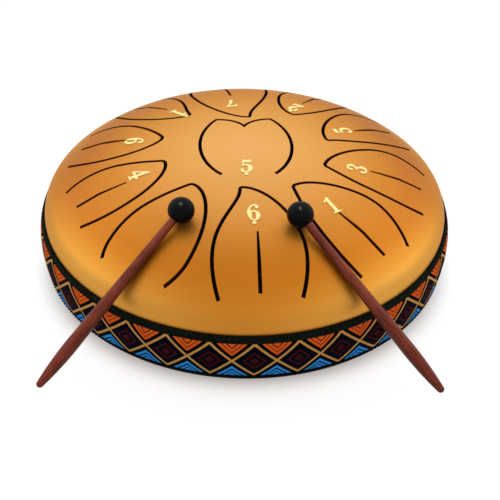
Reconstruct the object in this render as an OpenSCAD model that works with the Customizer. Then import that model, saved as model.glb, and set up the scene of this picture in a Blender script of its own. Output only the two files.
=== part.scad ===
// Steel tongue drum with a heart tongue in the middle, ten petal tongues round it,
// a woven band round the side, rubber feet below and two rubber-headed mallets.
// Millimetres, +Z up, the player sits at -Y.
// The origin is on the drum's axis, where the sound port's bend runs into its collar.

/* [Shells] */
// Widest diameter of the drum, across the crown of the band
drum_d = 254; // [220:1:300]
// Thickness of the steel sheet
sheet_t = 1.5; // [1.2:0.1:2]
// Radius of the dome's long slope, between its cap and its shoulder
dome_slope_r = 100; // [80:1:110]
// Radius of the dome's shoulder, where it turns down into the wall
dome_shoulder_r = 14; // [8:0.5:18]
// Angle from the vertical at which the flat cap meets the slope
dome_cap_turn = 10.7; // [9:0.1:13]
// Angle from the vertical at which the slope meets the shoulder
dome_slope_turn = 37; // [32:0.5:42]
// Height of the band's seat, up to the dome's shoulder
band_h = 31.2; // [27:0.1:40]
// Height of the lower shell's wall above the band's lower edge, up to the weld
neck_h = 15.6; // [12:0.1:18]
// Depth of the lower shell below the band
pan_depth = 9.8; // [9:0.1:13]
// Height above the band's lower edge at which the lower shell's wall bends inwards
pan_bend_rise = 1.7; // [1.5:0.1:4]
// Outer bend radius between the lower shell's wall and its slope
pan_bend_r = 5; // [4:0.1:7]
// Angle of the lower shell's slope from the level
pan_slope_turn = 28; // [25:1:40]
// Outer bend radius between the slope and the flat floor
pan_floor_bend_r = 8; // [4:0.5:12]
// Radius of the sound port
port_r = 30; // [22:0.5:40]
// Outer bend radius of the sound port's turned-in edge
port_bend_r = 3; // [2.2:0.1:4]
// Straight height of the sound port's collar
port_collar_h = 5; // [3:0.5:8]

/* [Tongues] */
// Number of petal tongues round the heart
tongue_count = 10; // [8:1:10]
// Width of every cut in the dome
kerf = 1.8; // [1:0.1:2.2]
// Turn of the whole layout away from the player, counterclockwise from above
layout_turn = 6.5; // [0:0.5:36]
// Share of the shell's radius where the tongues' cuts end
tongue_root_share = 0.905; // [0.88:0.005:0.91]
// Share of the shell's radius where each tongue's slit begins
slit_start_share = 0.61; // [0.58:0.01:0.66]
// Share of the shell's radius where each tongue's slit ends
slit_end_share = 0.875; // [0.85:0.005:0.88]
// Width of the slit at its inner end
slit_tip_w = 0.9; // [0.6:0.1:1.6]
// Share of the slit's length over which it widens to a full cut
slit_taper_share = 0.55; // [0.3:0.05:0.8]
// Distance from a tongue's tip at which its rounding begins
tip_round = 2.2; // [1:0.1:3]

/* [Band] */
// Depth of the band from the shell's wall to the band's crown
band_t = 4.3; // [4:0.1:6]
// Thickness of the woven ribbon
ribbon_t = 1; // [0.8:0.1:1.4]
// Radius of the ribbon's bowed face, seen in section
ribbon_bow_r = 56; // [50:1:90]
// Radius of the braid along the band's top edge
top_braid_r = 4; // [3.4:0.1:4.2]
// Radius of the braid along the band's lower edge
lower_braid_r = 3.9; // [3.4:0.1:4.2]
// How far each braid's centre lies inside the shell's wall
braid_sink = 0.6; // [0.3:0.1:1]
// Radius of the weld bead that joins the two shells
weld_r = 0.8; // [0.6:0.1:1.1]
// Clearance of the felt round the weld bead
weld_gap = 0.1; // [0.05:0.05:0.3]

/* [Feet] */
// Radius of the circle that the feet stand on
foot_ring_r = 88; // [60:1:92]
// Radius of a foot where it meets the lower shell
foot_r = 9; // [8:0.5:11]
// Height of a foot
foot_h = 5; // [4.6:0.1:10]
// How much a foot narrows towards its sole
foot_draft = 0.8; // [0.2:0.1:1.2]
// Rounding of a foot's lower edge
foot_edge_r = 1; // [0.5:0.1:1.5]
// Depth of the recess that hides the screw's head
foot_recess = 2.6; // [2.4:0.1:3.4]
// Clearance round the screw's head in its recess
recess_gap = 0.6; // [0.4:0.1:1]
// Radius of the foot screw's shank
screw_r = 2; // [1.5:0.1:2.5]
// Radius of the foot screw's head
screw_head_r = 3.6; // [3.2:0.1:4.5]
// Height of the foot screw's head
screw_head_h = 2.2; // [1.6:0.1:2.3]
// Width of the hexagon socket in the screw's head, across its corners
socket_w = 2.9; // [2.4:0.1:3.2]
// Depth of the hexagon socket
socket_depth = 1.2; // [0.6:0.1:1.3]
// Length of the screw left past the nut
screw_spare = 1.5; // [0.5:0.1:2.5]
// Clearance round the screw's shank in the foot, sheet and washer
shank_gap = 0.15; // [0.1:0.05:0.4]
// Radius of the washer
washer_r = 4.5; // [4:0.1:6]
// Thickness of the washer
washer_t = 0.8; // [0.5:0.1:1.2]
// Width of the nut across its corners
nut_w = 8.1; // [7:0.1:9]
// Thickness of the nut
nut_t = 3.2; // [2:0.1:4]
// Clearance between the nut's hole and the screw
thread_gap = 0.05; // [0.02:0.01:0.1]

/* [Mallets] */
// Radius of a mallet's rubber ball
ball_r = 7.25; // [6:0.25:10]
// Length of a handle from the ball's centre to the centre of its rounded end
handle_l = 114; // [105:1:150]
// Radius of a handle where it enters the ball
neck_r = 2.15; // [1.8:0.05:2.8]
// Radius of a handle at its thickest
grip_r = 3.55; // [3:0.05:4.5]
// Distance from the ball's centre to the handle's thickest place
grip_at = 90; // [70:1:98]
// Radius of a handle's rounded end
butt_r = 1.9; // [1.5:0.1:2.5]
// Depth of the handle in the ball past the ball's centre
peg_depth = 2; // [0:0.5:4]
// Clearance of the handle in the ball's hole
peg_gap = 0.03; // [0.01:0.01:0.1]
// Clearance at which a resting mallet lies on the drum
rest_gap = 0.3; // [0.1:0.05:0.5]
// Angle from the vertical of the dome's face under the ball
ball_seat_turn = 10.5; // [5:0.5:14]
// Direction of the left ball from the drum's axis, away from the player's side
left_ball_azimuth = 26.7; // [18:0.1:32]
// Direction of the right ball from the drum's axis, away from the player's side
right_ball_azimuth = 22.9; // [18:0.1:32]
// Direction in which the left handle runs out, away from the player's side
left_handle_azimuth = 40.3; // [33:0.1:50]
// Direction in which the right handle runs out, away from the player's side
right_handle_azimuth = 42.3; // [33:0.1:50]

/* [Hidden] */

// Overrun of every cut past the face that it leaves
cut_over = 1;
// Largest gap between a true arc and its chords in a preview
chord_error = 0.01;
// Growth of an arc that would only touch its neighbour's line, so that the two cross cleanly
tangent_over = 0.001;
// Angle by which such an arc runs on past the place where it meets that line
fan_over = 5;
// Steps along each curved stretch of a tongue's outline
curve_steps = 6;
// Places along the handle at which its gap to the drum is measured, and halvings of its slope
rest_samples = 60;
slope_trials = 16;

// Reach of each tongue's tip, from the front one on counterclockwise, as shares of the shell's radius
tip_shares = [0.328, 0.373, 0.392, 0.41, 0.432, 0.295, 0.45, 0.427, 0.4, 0.384];
// Half width of each tongue at its widest, as shares of the shell's radius
half_shares = [0.204, 0.184, 0.195, 0.172, 0.168, 0.215, 0.162, 0.176, 0.168, 0.196];
// Sideways place of each tongue's tip, as shares of its half width
tip_skew_shares = [-0.31, -0.27, -0.27, -0.44, -0.23, -0.24, -0.1, -0.12, -0.35, -0.33];
// How far each tongue sways sideways past its tip, as shares of its half width
sway_shares = [-0.09, 0.14, 0.18, 0.19, 0, 0.1, 0.24, 0.03, -0.09, -0.16];
// Reach of each tongue's cuts and slit, as shares of the common reach
reach_shares = [1.02, 1.01, 0.99, 0.99, 0.99, 0.99, 0.99, 0.985, 0.975, 1.005];
// Reach of the widest place of each tongue's near and far edge, as shares of the shell's radius
near_belly_shares = [0.77, 0.77, 0.77, 0.77, 0.77, 0.77, 0.77, 0.77, 0.77, 0.81];
far_belly_shares = [0.72, 0.72, 0.72, 0.72, 0.72, 0.72, 0.72, 0.72, 0.73, 0.78];
// Curve of the near edge from tip to belly: share of the way out, then share of the belly's width
near_curve_shares = [[0.22, 0.56], [0.57, 1]];
// Curve of the far edge from tip to belly, in the same shares
far_curve_shares = [[0.05, 0.33], [0.56, 1]];
// Sideways place of the cuts' root ends, as shares of the half width
near_root_share = -0.92;
far_root_share = 0.8;
// Right edge of the heart from its open end up to the lobe, as shares of the shell's radius
heart_side_shares = [[0.125, -0.235], [0.25, -0.12], [0.26, 0.12], [0.14, 0.275]];
// Right lobe of the heart from its top down to the notch, as shares of the shell's radius
heart_lobe_shares = [[0.14, 0.275], [0.09, 0.275], [0.03, 0.25], [0, 0.195]];

shell_r = drum_d / 2 - band_t;
pan_floor_z = -port_bend_r;
band_low_z = pan_floor_z + pan_depth;
seam_z = band_low_z + neck_h;
rim_z = band_low_z + band_h;
sole_z = pan_floor_z - foot_h;

// Centres of the lower shell's two bends, and the direction that its slope faces
pan_lean = lean(180 - pan_slope_turn);
pan_bend_c = [shell_r - pan_bend_r, band_low_z + pan_bend_rise];
pan_floor_c = [
    pan_bend_c.x
        + (pan_bend_r - pan_floor_bend_r + (pan_bend_c.y - pan_floor_z - pan_floor_bend_r) * pan_lean.y) / pan_lean.x,
    pan_floor_z + pan_floor_bend_r
];

// Centres and radii of the dome's three arcs, each tangent to the next
dome_cap_r = dome_slope_r
    + (shell_r - dome_shoulder_r - (dome_slope_r - dome_shoulder_r) * sin(dome_slope_turn)) / sin(dome_cap_turn);
shoulder_c = [shell_r - dome_shoulder_r, rim_z];
slope_c = shoulder_c - (dome_slope_r - dome_shoulder_r) * lean(dome_slope_turn);
cap_c = slope_c - (dome_cap_r - dome_slope_r) * lean(dome_cap_turn);
dome_h = cap_c.y + dome_cap_r - rim_z;

ribbon_low_z = band_low_z + lower_braid_r;
ribbon_high_z = rim_z - top_braid_r;
bow_c = [drum_d / 2 - ribbon_bow_r, (ribbon_low_z + ribbon_high_z) / 2];

screw_hole_r = screw_r + shank_gap;
recess_r = screw_head_r + recess_gap;
head_seat_z = sole_z + foot_recess;
washer_z = pan_floor_z + sheet_t;
nut_z = washer_z + washer_t;

// Radius and centre of the arc that rounds the handle from its taper to its end
grip_arc_r = ((handle_l - grip_at) ^ 2 + (grip_r - butt_r) ^ 2) / (2 * (grip_r - butt_r));
grip_c = [grip_r - grip_arc_r, grip_at];
// Angle of the straight taper, which runs from the ball onto that arc, and where they meet
taper_turn = atan2(grip_at - ball_r, neck_r - grip_c.x)
    - acos(grip_arc_r / norm([neck_r, ball_r] - grip_c));
taper_end = grip_c + grip_arc_r * [cos(taper_turn), -sin(taper_turn)];

// Resting place of a ball: its centre lies on the dome's normal at the seat
ball_c = dome_point(ball_seat_turn) + (ball_r + rest_gap) * lean(ball_seat_turn);

// Unit vector in the section plane, at an angle from the vertical
function lean(turn) = [sin(turn), cos(turn)];
// Point of the dome's outer face where its normal leans by turn
function dome_point(turn) = turn < dome_cap_turn
    ? cap_c + dome_cap_r * lean(turn)
    : turn < dome_slope_turn
        ? slope_c + dome_slope_r * lean(turn)
        : shoulder_c + dome_shoulder_r * lean(turn);
// Radius of a handle at a distance from the ball's centre
function handle_radius(at) = at < taper_end.y
    ? neck_r + (at - ball_r) * tan(taper_turn)
    : grip_c.x + sqrt(grip_arc_r ^ 2 - (grip_at - at) ^ 2);
// Distance from the dome's or the band's face to a point outside it, in the section plane
function drum_gap(p) = let (
    from_cap = p - cap_c,
    from_slope = p - slope_c,
    from_shoulder = p - shoulder_c,
    dome = atan2(from_cap.x, from_cap.y) < dome_cap_turn
        ? norm(from_cap) - dome_cap_r
        : atan2(from_slope.x, from_slope.y) < dome_slope_turn
            ? norm(from_slope) - dome_slope_r
            : norm(from_shoulder) - dome_shoulder_r,
    braid = norm(p - [shell_r - braid_sink, ribbon_high_z]) - top_braid_r
) p.y > ribbon_high_z ? min(dome, braid) : p.x - drum_d / 2;
// Point in the section plane below the axis of a handle that runs down at a slope; turn is the
// angle between the handle and the line from the drum's axis to the ball, seen from above
function handle_point(at, turn, slope) = let (
    along = ball_c.x * cos(turn) + at * cos(slope),
    across = ball_c.x * sin(turn)
) [norm([along, across]), ball_c.y - at * sin(slope)];
// Least gap between the handle and the drum at a slope
function handle_gap(turn, slope) = min([
    for (i = [0 : rest_samples]) let (at = ball_r + (grip_at - ball_r) * i / rest_samples)
        drum_gap(handle_point(at, turn, slope)) - handle_radius(at)
]);
// Steepest slope between two at which the handle still keeps its rest gap, by halving
function lowered_slope(turn, low, high, trials) = trials == 0 ? low
    : let (middle = (low + high) / 2) handle_gap(turn, middle) > rest_gap
        ? lowered_slope(turn, middle, high, trials - 1)
        : lowered_slope(turn, low, middle, trials - 1);
// Sides of a circle of radius r that keep its chords within the chord error
function sides(r) = max(48, 4 * ceil(45 / acos(1 - chord_error / max(r, chord_error))));

function curve_at(p, t) = p[0] * (1 - t) ^ 3 + 3 * p[1] * t * (1 - t) ^ 2 + 3 * p[2] * t ^ 2 * (1 - t) + p[3] * t ^ 3;
// Points along a cubic curve, without its last one
function curve(p) = [for (i = [0 : curve_steps - 1]) curve_at(p, i / curve_steps)];
// A bend from a to b that leaves and arrives along the lines to its corner
function bend(a, corner, b) = curve([a, a + (corner - a) * 2 / 3, b + (corner - b) * 2 / 3, b]);
function turned_back(path) = [for (i = [len(path) - 1 : -1 : 0]) path[i]];
function unit(v) = v / norm(v);
function left_of(v) = [-v.y, v.x];
// Offset of a path's point to its left, mitred at a corner
function mitre(path, i, w) = let (
    last = len(path) - 1,
    before = left_of(unit(path[max(i, 1)] - path[max(i, 1) - 1])),
    after = left_of(unit(path[min(i + 1, last)] - path[min(i + 1, last) - 1])),
    half = unit(before + after)
) half * w / (half * before);

// Place between a tongue's tip and belly, given as shares of the way out and of the belly's width
function edge_point(tip_x, belly, at_shares) =
    [tip_x + (belly.x - tip_x) * at_shares.x, belly.y * at_shares.y];
// Root end of a tongue's edge, on the circle where its cuts stop
function root_point(root_r, y) = [sqrt(root_r ^ 2 - y ^ 2), y];
// One edge of a tongue, from the end of the tip's rounding to its root
function tongue_edge(tip, belly, curve_shares, root) = let (
    leave = edge_point(tip.x, belly, curve_shares[0]),
    arrive = edge_point(tip.x, belly, curve_shares[1])
) concat(
    curve([tip + tip_round * unit(leave - tip), leave, arrive, belly]),
    bend(belly, [(belly.x + root.x) / 2, belly.y], root),
    [root]
);
// Whole outline of a tongue, root to tip to root, along its own axis
function tongue_path(i) = let (
    half = half_shares[i] * shell_r,
    sway = sway_shares[i] * half,
    root_r = tongue_root_share * reach_shares[i] * shell_r,
    tip = [tip_shares[i] * shell_r, tip_skew_shares[i] * half],
    near = tongue_edge(tip, [near_belly_shares[i] * shell_r, sway - half],
        near_curve_shares, root_point(root_r, sway + near_root_share * half)),
    far = tongue_edge(tip, [far_belly_shares[i] * shell_r, sway + half],
        far_curve_shares, root_point(root_r, sway + far_root_share * half)),
    tip_arc = bend(near[0], tip, far[0])
) concat(turned_back(near), [for (i = [1 : curve_steps - 1]) tip_arc[i]], far);
// Outline of the heart, open at the bottom, from its left end to its right end
function heart_path() = let (
    right = concat(curve(heart_side_shares * shell_r), curve(heart_lobe_shares * shell_r)),
    left = [for (p = right) [-p.x, p.y]]
) concat(left, [heart_lobe_shares[3] * shell_r], turned_back(right));

// A groove of even width along a path, with square ends
module groove(path, w) {
    last = len(path) - 1;
    polygon(concat(
        [for (i = [0 : last]) path[i] - mitre(path, i, w / 2)],
        [for (i = [last : -1 : 0]) path[i] + mitre(path, i, w / 2)]
    ));
}

// A tongue's slit, round at its narrow inner end, that widens to a full cut and runs out with the sway
module slit(i) {
    start = slit_start_share * shell_r;
    length = slit_end_share * reach_shares[i] * shell_r - start;
    full = length * slit_taper_share;
    translate([start, 0]) rotate(atan2(sway_shares[i] * half_shares[i] * shell_r, length)) {
        polygon([
            [0, -slit_tip_w / 2], [full, -kerf / 2], [length, -kerf / 2],
            [length, kerf / 2], [full, kerf / 2], [0, slit_tip_w / 2]
        ]);
        circle(r = slit_tip_w / 2 + tangent_over, $fn = sides(slit_tip_w));
    }
}

// Every cut in the dome, seen from above
module dome_cuts() {
    rotate(layout_turn) groove(heart_path(), kerf);
    for (i = [0 : tongue_count - 1])
        rotate(layout_turn - 90 + i * 360 / tongue_count) {
            groove(tongue_path(i), kerf);
            slit(i);
        }
}

// Sector of a disc between two angles from the vertical; each starts inside the stretch before it,
// so that the dome's three arcs and the lower shell's bends run into their neighbours without a seam
module fan(centre, r, from, to) {
    reach = r / cos((to - from) / 2) + cut_over;
    intersection() {
        translate(centre) circle(r = r, $fn = sides(r));
        polygon([centre, centre + reach * lean(to), centre + reach * lean(from)]);
    }
}

// Half section of the space under the dome, drawn in by inset and down to low
module dome_fill(inset, low) {
    wall_r = shell_r - inset;
    core_r = dome_slope_r - dome_shoulder_r / 2;
    intersection() {
        translate([0, low]) square([wall_r, rim_z + dome_h - low]);
        union() {
            polygon([
                [0, low], [wall_r, low], [wall_r, rim_z],
                slope_c + core_r * lean(dome_slope_turn),
                slope_c + core_r * lean(dome_cap_turn),
                [0, cap_c.y + dome_cap_r - dome_shoulder_r / 2]
            ]);
            fan(cap_c, dome_cap_r - inset, 0, dome_cap_turn);
            fan(slope_c, dome_slope_r - inset + tangent_over, dome_cap_turn / 2, dome_slope_turn);
            fan(shoulder_c, dome_shoulder_r - inset + 2 * tangent_over, dome_slope_turn / 2, 90);
        }
    }
}

module top_shell() {
    color("goldenrod") difference() {
        rotate_extrude($fn = sides(shell_r)) difference() {
            dome_fill(0, seam_z);
            dome_fill(sheet_t, seam_z - cut_over);
        }
        translate([0, 0, rim_z]) linear_extrude(dome_h + cut_over) dome_cuts();
    }
}

// Quarter of a bent sheet's section round a centre, in the quadrant given by signs
module bent_quarter(centre, r, quadrant) {
    translate(centre) intersection() {
        difference() {
            circle(r = r, $fn = sides(r));
            circle(r = r - sheet_t, $fn = sides(r));
        }
        translate([min(quadrant.x, 0) * r, min(quadrant.y, 0) * r]) square(r);
    }
}

// Half section of the space in the lower shell, drawn in by inset and up to high
module pan_fill(inset, high) {
    facing = 180 - pan_slope_turn;
    polygon([
        [0, pan_floor_z + inset],
        [pan_floor_c.x, pan_floor_z + inset],
        pan_floor_c + (pan_floor_bend_r - inset) * pan_lean,
        pan_bend_c + (pan_bend_r - inset) * pan_lean,
        [shell_r - inset, pan_bend_c.y],
        [shell_r - inset, high],
        [0, high]
    ]);
    fan(pan_floor_c, pan_floor_bend_r - inset + tangent_over, facing - fan_over, 180 + fan_over);
    fan(pan_bend_c, pan_bend_r - inset + tangent_over, 90 - fan_over, facing + fan_over);
}

module bottom_shell() {
    flat_in_r = port_r + port_bend_r;
    color("darkgoldenrod") difference() {
        rotate_extrude($fn = sides(shell_r)) {
            difference() {
                pan_fill(0, seam_z);
                pan_fill(sheet_t, seam_z + cut_over);
                translate([0, pan_floor_z - cut_over]) square([flat_in_r, sheet_t + 2 * cut_over]);
            }
            bent_quarter([flat_in_r, 0], port_bend_r, [-1, -1]);
            translate([port_r, 0]) square([sheet_t, port_collar_h]);
        }
        at_feet() translate([0, 0, pan_floor_z - cut_over])
            cylinder(r = screw_hole_r, h = sheet_t + 2 * cut_over, $fn = sides(screw_hole_r));
    }
}

module seam_weld() {
    color("darkgray") rotate_extrude($fn = sides(shell_r)) intersection() {
        translate([shell_r, seam_z]) circle(r = weld_r, $fn = sides(weld_r));
        translate([shell_r, seam_z - weld_r]) square([weld_r, 2 * weld_r]);
    }
}

// Half section of everything inside the bowed face, drawn in by inset
module band_fill(inset) {
    intersection() {
        translate(bow_c) circle(r = ribbon_bow_r - inset, $fn = sides(drum_d));
        translate([shell_r, ribbon_low_z]) square([band_t, ribbon_high_z - ribbon_low_z]);
    }
}

module band_felt() {
    color("dimgray") rotate_extrude($fn = sides(shell_r)) difference() {
        band_fill(ribbon_t);
        translate([shell_r, seam_z]) circle(r = weld_r + weld_gap, $fn = sides(weld_r));
    }
}

module pattern_band() {
    color("orangered") rotate_extrude($fn = sides(shell_r)) difference() {
        band_fill(0);
        band_fill(ribbon_t);
    }
}

// Quarter-round braid against the wall, standing up (1) or hanging down (-1) from z
module braid(r, z, way) {
    rotate_extrude($fn = sides(shell_r)) intersection() {
        translate([shell_r - braid_sink, z]) circle(r = r, $fn = sides(r));
        translate([shell_r, z + min(way, 0) * r]) square(r);
    }
}

module top_braid() {
    color("darkslategray") braid(top_braid_r, ribbon_high_z, 1);
}

module lower_braid() {
    color("black") braid(lower_braid_r, ribbon_low_z, -1);
}

// One foot in the quadrant given by signs
module foot(quadrant) {
    sole_r = foot_r - foot_draft;
    color("dimgray") translate([quadrant.x, quadrant.y, 0] * foot_ring_r / norm(quadrant)) difference() {
        rotate_extrude($fn = sides(foot_r)) {
            polygon([
                [0, sole_z], [sole_r - foot_edge_r, sole_z], [sole_r - foot_edge_r, sole_z + foot_edge_r],
                [sole_r, sole_z + foot_edge_r], [foot_r, pan_floor_z], [0, pan_floor_z]
            ]);
            translate([sole_r - foot_edge_r, sole_z + foot_edge_r])
                circle(r = foot_edge_r, $fn = sides(foot_edge_r));
        }
        translate([0, 0, sole_z - cut_over])
            cylinder(r = screw_hole_r, h = foot_h + 2 * cut_over, $fn = sides(screw_hole_r));
        translate([0, 0, sole_z - cut_over])
            cylinder(r = recess_r, h = foot_recess + cut_over, $fn = sides(recess_r));
    }
}

// Children at each foot's place
module at_feet() {
    for (i = [0 : 3])
        rotate([0, 0, 45 + 90 * i]) translate([foot_ring_r, 0, 0]) children();
}

module foot_screws() {
    color("silver") at_feet() difference() {
        union() {
            translate([0, 0, head_seat_z - screw_head_h])
                cylinder(r = screw_head_r, h = screw_head_h, $fn = sides(screw_head_r));
            translate([0, 0, head_seat_z])
                cylinder(r = screw_r, h = nut_z + nut_t + screw_spare - head_seat_z, $fn = sides(screw_r));
        }
        translate([0, 0, head_seat_z - screw_head_h - cut_over])
            cylinder(r = socket_w / 2, h = socket_depth + cut_over, $fn = 6);
    }
}

module foot_washers() {
    color("silver") at_feet() translate([0, 0, washer_z]) difference() {
        cylinder(r = washer_r, h = washer_t, $fn = sides(washer_r));
        translate([0, 0, -cut_over])
            cylinder(r = screw_hole_r, h = washer_t + 2 * cut_over, $fn = sides(screw_hole_r));
    }
}

module foot_nuts() {
    color("silver") at_feet() translate([0, 0, nut_z]) difference() {
        cylinder(r = nut_w / 2, h = nut_t, $fn = 6);
        translate([0, 0, -cut_over])
            cylinder(r = screw_r + thread_gap, h = nut_t + 2 * cut_over, $fn = sides(screw_r));
    }
}

// Children along a resting mallet's own axis, from its ball outwards; side is 1 right, -1 left
module on_mallet(side) {
    ball_azimuth = side < 0 ? left_ball_azimuth : right_ball_azimuth;
    handle_azimuth = side < 0 ? left_handle_azimuth : right_handle_azimuth;
    rest_slope = lowered_slope(handle_azimuth - ball_azimuth, 0, 90, slope_trials);
    mirror([side < 0 ? 1 : 0, 0, 0])
        rotate([0, 0, ball_azimuth - 90])
            translate([ball_c.x, 0, ball_c.y])
                rotate([0, 0, handle_azimuth - ball_azimuth])
                    rotate([0, 90 + rest_slope, 0])
                        children();
}

// Peg, taper, grip and end of the handle; each stretch starts inside the one before
module mallet_handle(side) {
    color("saddlebrown") on_mallet(side) rotate_extrude($fn = sides(grip_r)) {
        translate([0, -peg_depth]) square([neck_r, ball_r + peg_depth + cut_over]);
        polygon([[0, ball_r], [neck_r, ball_r], taper_end, [0, taper_end.y]]);
        intersection() {
            translate(grip_c) circle(r = grip_arc_r + tangent_over, $fn = sides(grip_arc_r));
            translate([0, taper_end.y - cut_over]) square([grip_r, handle_l - taper_end.y + cut_over]);
        }
        intersection() {
            translate([0, handle_l]) circle(r = butt_r + tangent_over, $fn = sides(butt_r));
            translate([0, handle_l - butt_r]) square(2 * butt_r);
        }
    }
}

module mallet_head(side) {
    color("black") on_mallet(side) difference() {
        sphere(r = ball_r, $fn = sides(ball_r));
        translate([0, 0, -peg_depth - peg_gap])
            cylinder(r = neck_r + peg_gap, h = ball_r + peg_depth + peg_gap + cut_over, $fn = sides(neck_r));
    }
}

module foot_front_left() foot([-1, -1]);
module foot_front_right() foot([1, -1]);
module foot_back_left() foot([-1, 1]);
module foot_back_right() foot([1, 1]);
module left_mallet_handle() mallet_handle(-1);
module left_mallet_head() mallet_head(-1);
module right_mallet_handle() mallet_handle(1);
module right_mallet_head() mallet_head(1);

top_shell();
bottom_shell();
seam_weld();
band_felt();
pattern_band();
top_braid();
lower_braid();
foot_front_left();
foot_front_right();
foot_back_left();
foot_back_right();
foot_screws();
foot_washers();
foot_nuts();
left_mallet_handle();
left_mallet_head();
right_mallet_handle();
right_mallet_head();
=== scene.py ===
import math

import bpy
from mathutils import Matrix, Vector
from mathutils.geometry import delaunay_2d_cdt


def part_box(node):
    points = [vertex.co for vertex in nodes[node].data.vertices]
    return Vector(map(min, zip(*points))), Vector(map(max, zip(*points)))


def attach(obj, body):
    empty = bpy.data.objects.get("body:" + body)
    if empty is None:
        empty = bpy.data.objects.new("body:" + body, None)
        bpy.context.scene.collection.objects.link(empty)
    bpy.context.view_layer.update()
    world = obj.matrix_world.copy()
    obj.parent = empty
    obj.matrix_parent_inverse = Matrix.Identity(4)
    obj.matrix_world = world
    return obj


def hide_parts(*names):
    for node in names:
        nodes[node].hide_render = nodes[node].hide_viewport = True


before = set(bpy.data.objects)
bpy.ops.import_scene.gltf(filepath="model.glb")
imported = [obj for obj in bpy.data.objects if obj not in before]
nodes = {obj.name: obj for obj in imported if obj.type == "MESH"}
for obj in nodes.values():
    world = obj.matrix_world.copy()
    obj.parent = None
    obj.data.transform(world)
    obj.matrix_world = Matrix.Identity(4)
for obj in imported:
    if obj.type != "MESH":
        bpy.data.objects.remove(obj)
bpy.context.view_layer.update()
fullTurn = 2 * math.pi
mergeDistance = 0.000001


class Wire:
    # one output socket; an expression on it adds its Math nodes

    def __init__(self, tree, socket):
        self.tree = tree
        self.socket = socket

    def calc(self, operation, *values):
        node = self.tree.nodes.new("ShaderNodeMath")
        node.operation = operation
        for place, value in enumerate(values):
            if isinstance(value, Wire):
                self.tree.links.new(value.socket, node.inputs[place])
            else:
                node.inputs[place].default_value = value
        return Wire(self.tree, node.outputs[0])

    def __add__(self, other):
        return self.calc("ADD", self, other)

    def __radd__(self, other):
        return self.calc("ADD", other, self)

    def __sub__(self, other):
        return self.calc("SUBTRACT", self, other)

    def __rsub__(self, other):
        return self.calc("SUBTRACT", other, self)

    def __mul__(self, other):
        return self.calc("MULTIPLY", self, other)

    def __rmul__(self, other):
        return self.calc("MULTIPLY", other, self)

    def __truediv__(self, other):
        return self.calc("DIVIDE", self, other)

    def __rtruediv__(self, other):
        return self.calc("DIVIDE", other, self)

    def __pow__(self, other):
        return self.calc("POWER", self, other)

    def __abs__(self):
        return self.calc("ABSOLUTE", self)

    def sine(self):
        return self.calc("SINE", self)

    def cosine(self):
        return self.calc("COSINE", self)

    def part(self):
        return self.calc("FRACT", self)      # what is left after the whole number

    def least(self, other):
        return self.calc("MINIMUM", self, other)

    def most(self, other):
        return self.calc("MAXIMUM", self, other)

    def other(self, name):
        return Wire(self.tree, self.socket.node.outputs[name])     # another output of the same node


class Graph:
    # a node tree in which add() makes any node from its type, its settings and its inputs

    def __init__(self, tree):
        self.tree = tree

    def put(self, socket, value):
        if isinstance(value, Wire):
            self.tree.links.new(value.socket, socket)
        else:
            socket.default_value = value

    def add(self, kind, settings=None, inputs=None, output=0):
        node = self.tree.nodes.new(kind)
        for name, value in (settings or {}).items():
            if name == "stops":
                ramp = node.color_ramp
                while len(ramp.elements) < len(value):
                    ramp.elements.new(1)
                for element, (position, colour) in zip(ramp.elements, value):
                    element.position = position
                    element.color = colour
            else:
                setattr(node, name, value)
        for name, value in (inputs or {}).items():
            self.put(node.inputs[name], value)
        return Wire(self.tree, node.outputs[output])

    def split(self, vector):
        x = self.add("ShaderNodeSeparateXYZ", inputs={0: vector})
        return x, x.other("Y"), x.other("Z")

    def join(self, x, y, z):
        return self.add("ShaderNodeCombineXYZ", inputs={0: x, 1: y, 2: z})

    def rise(self, value, low, high, bottom=0, top=1):
        # smooth step from bottom to top while value goes from low to high
        return self.add("ShaderNodeMapRange", {"interpolation_type": "SMOOTHSTEP"},
                        {0: value, 1: low, 2: high, 3: bottom, 4: top})


class Finish(Graph):
    # a material; its shader's inputs are set with shader()

    def __init__(self, name):
        self.material = bpy.data.materials.new(name)
        self.material.use_nodes = True
        super().__init__(self.material.node_tree)
        self.surface = self.tree.nodes["Principled BSDF"]
        self.place = self.add("ShaderNodeTexCoord", output="Object")

    def shader(self, inputs):
        for name, value in inputs.items():
            self.put(self.surface.inputs[name], value)

    def blend(self, mask, under, over):
        # the colour under, covered by over where mask is 1
        return self.add("ShaderNodeMix", {"data_type": "RGBA"}, {0: mask, 6: under, 7: over}, output=2)

    def darken(self, colour, shade):
        return self.add("ShaderNodeVectorMath", {"operation": "SCALE"}, {0: colour, "Scale": shade})

    def azimuth(self, x, y):
        # angle round the drum's axis, counted from the front
        return self.add("ShaderNodeMath", {"operation": "ARCTAN2"}, {0: x, 1: y * -1})

    def noise(self, scale, detail=2, place=None, roughness=0.5):
        return self.add("ShaderNodeTexNoise", None,
                        {"Vector": place or self.place, "Scale": scale, "Detail": detail,
                         "Roughness": roughness})

    def bump(self, height, depth, strength=1):
        return self.add("ShaderNodeBump", None,
                        {"Height": height, "Distance": depth, "Strength": strength})


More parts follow.
